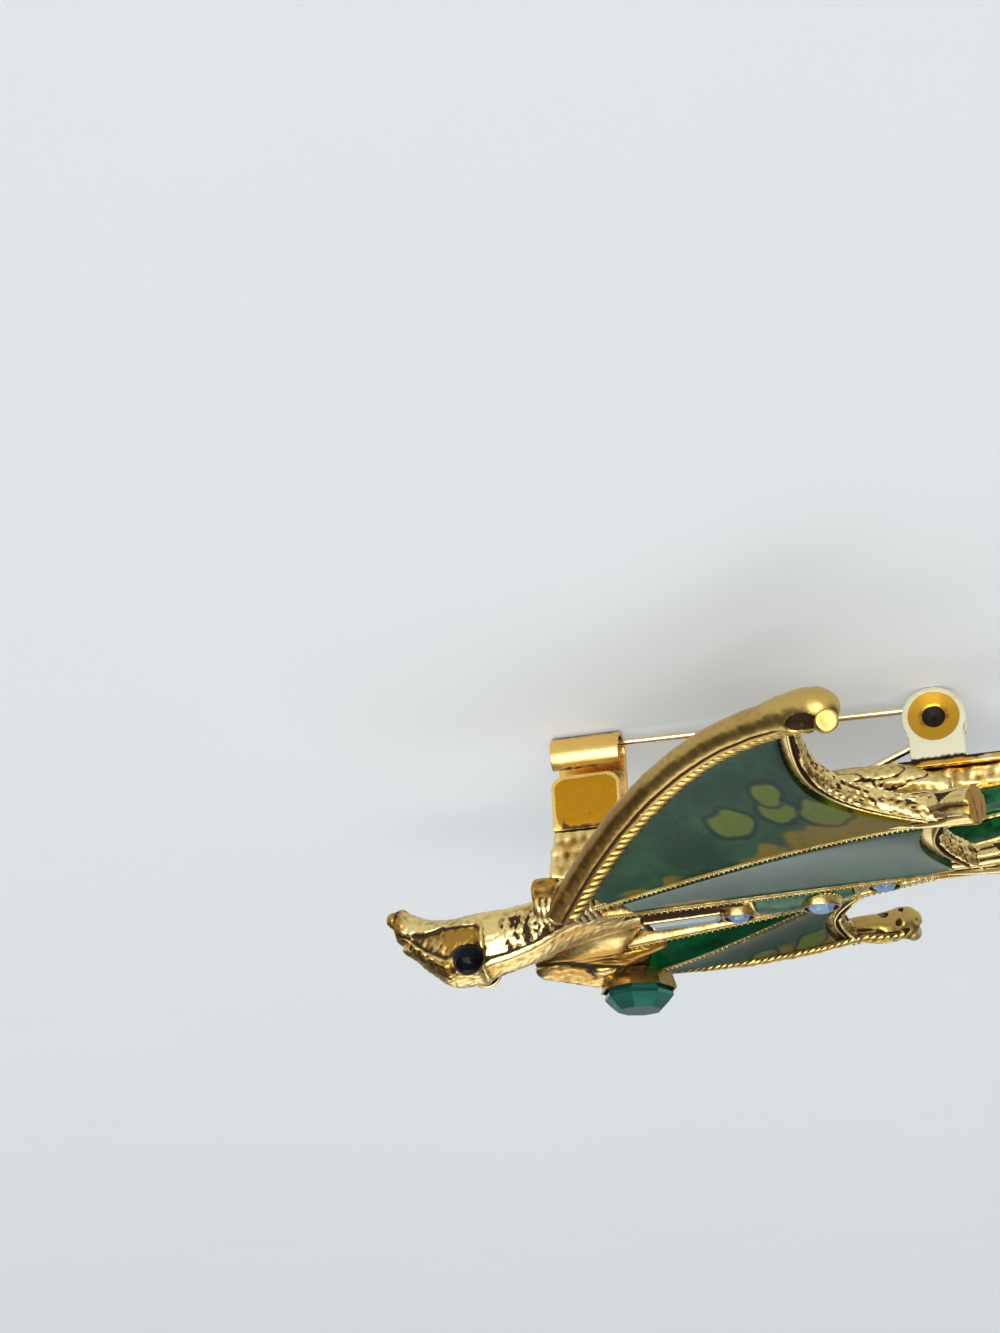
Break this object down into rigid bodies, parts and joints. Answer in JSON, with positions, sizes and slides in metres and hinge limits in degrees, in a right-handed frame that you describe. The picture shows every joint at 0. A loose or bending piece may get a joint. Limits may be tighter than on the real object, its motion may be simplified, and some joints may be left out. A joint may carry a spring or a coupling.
{
  "type": "dragon brooch with hinged pin",
  "caption": "Antique-gold winged dragon brooch with green enamel wings, faceted stones along its back, a curled tail, and a hinged pin with a hook catch behind.",
  "frame": {"origin": "middle of the brooch's outline on the surface that it lies on, face up", "axes": "+X towards the dragon's nose, +Y towards its left wing tip, +Z out of its front, away from the clothes it is pinned to"},
  "size_m": [0.068, 0.0588, 0.0212],
  "materials": {
    "antique_gold": "pale antique-gold plating, burnished on the raised lines, brown patina in the recesses",
    "findings_gold": "satin gold plating with a little brown toning",
    "wire": "drawn spring wire, smooth, pale gold",
    "enamel": "translucent green enamel over metal, high gloss, olive-yellow spots and yellow-green along the ribs",
    "dark_enamel": "deep translucent green enamel with darker veins, high gloss",
    "eye_glass": "black glass, polished",
    "clear_stone": "clear foil-backed glass, step cut",
    "green_glass": "dark green glass, faceted",
    "iris_stone": "faceted glass with a blue-violet iridescent coat"
  },
  "bodies": {
    "brooch": {"casting": "antique_gold", "hinge_bracket": "findings_gold", "catch": "findings_gold", "spring_leg": "wire", "near_lead_enamel": "enamel", "near_trail_enamel": "enamel", "far_trail_enamel": "enamel", "far_lead_enamel": "enamel", "near_back_enamel": "dark_enamel", "spine_enamel": "dark_enamel", "near_flank_enamel": "dark_enamel", "far_flank_enamel": "dark_enamel", "eye_near": "eye_glass", "eye_far": "eye_glass", "baguette": "clear_stone", "green_stone": "green_glass", "crystal_1": "iris_stone", "crystal_2": "iris_stone", "crystal_3": "iris_stone", "crystal_4": "iris_stone", "crystal_5": "iris_stone"},
    "pin": {"pin_stem": "wire"}
  },
  "joints": [
    {"name": "pin_swing", "type": "hinge", "parent": "brooch", "child": "pin", "pos_m": [-0.01265, -0.002, 0.0025], "axis": [0, 1, 0], "range_deg": [0, 100]}
  ]
}
